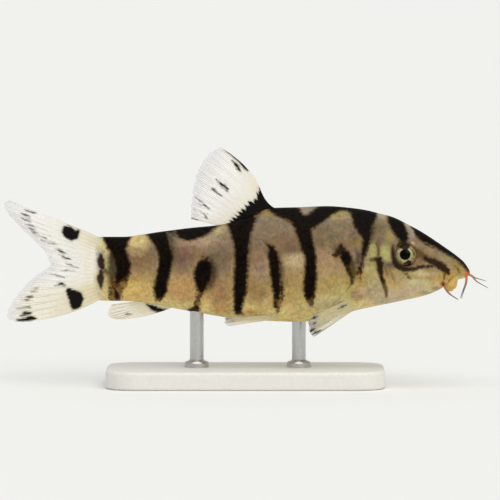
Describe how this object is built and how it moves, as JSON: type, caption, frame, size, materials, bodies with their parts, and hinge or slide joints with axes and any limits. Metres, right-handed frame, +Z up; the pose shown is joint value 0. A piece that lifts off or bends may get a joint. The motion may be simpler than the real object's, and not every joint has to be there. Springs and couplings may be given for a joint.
{
  "type": "yoyo loach",
  "caption": "Life-size yoyo loach: striped bottom-living fish with forked tail and snout feelers, held by rods on a plain flat stand.",
  "frame": {"origin": "centre of the stand base's underside", "axes": "+X towards the snout, +Z up, -Y towards the fish's right side"},
  "size_m": [0.1051, 0.03, 0.0514],
  "materials": {
    "skin": "wet fish skin, gold to taupe with near-black bars, as painted on a museum cast",
    "fin": "thin clear fin with cream rays and black marks",
    "eye": "polished eye with gold-green iris and black pupil",
    "barbel": "wet skin, orange at the root and grey-brown at the tip",
    "stand": "satin off-white",
    "rod": "brushed steel rod"
  },
  "bodies": {
    "root": {"head": "skin", "trunk": "skin", "tail_stalk": "skin", "caudal_fin": "fin", "dorsal_fin": "fin", "anal_fin": "fin", "pectoral_fin_right": "fin", "pectoral_fin_left": "fin", "pelvic_fin_right": "fin", "pelvic_fin_left": "fin", "eye_right": "eye", "eye_left": "eye", "barbel_snout_front_right": "barbel", "barbel_snout_front_left": "barbel", "barbel_snout_rear_right": "barbel", "barbel_snout_rear_left": "barbel", "barbel_mouth_right": "barbel", "barbel_mouth_left": "barbel", "barbel_chin_right": "barbel", "barbel_chin_left": "barbel", "stand_base": "stand", "stand_rod_front": "rod", "stand_rod_rear": "rod"}
  },
  "joints": []
}
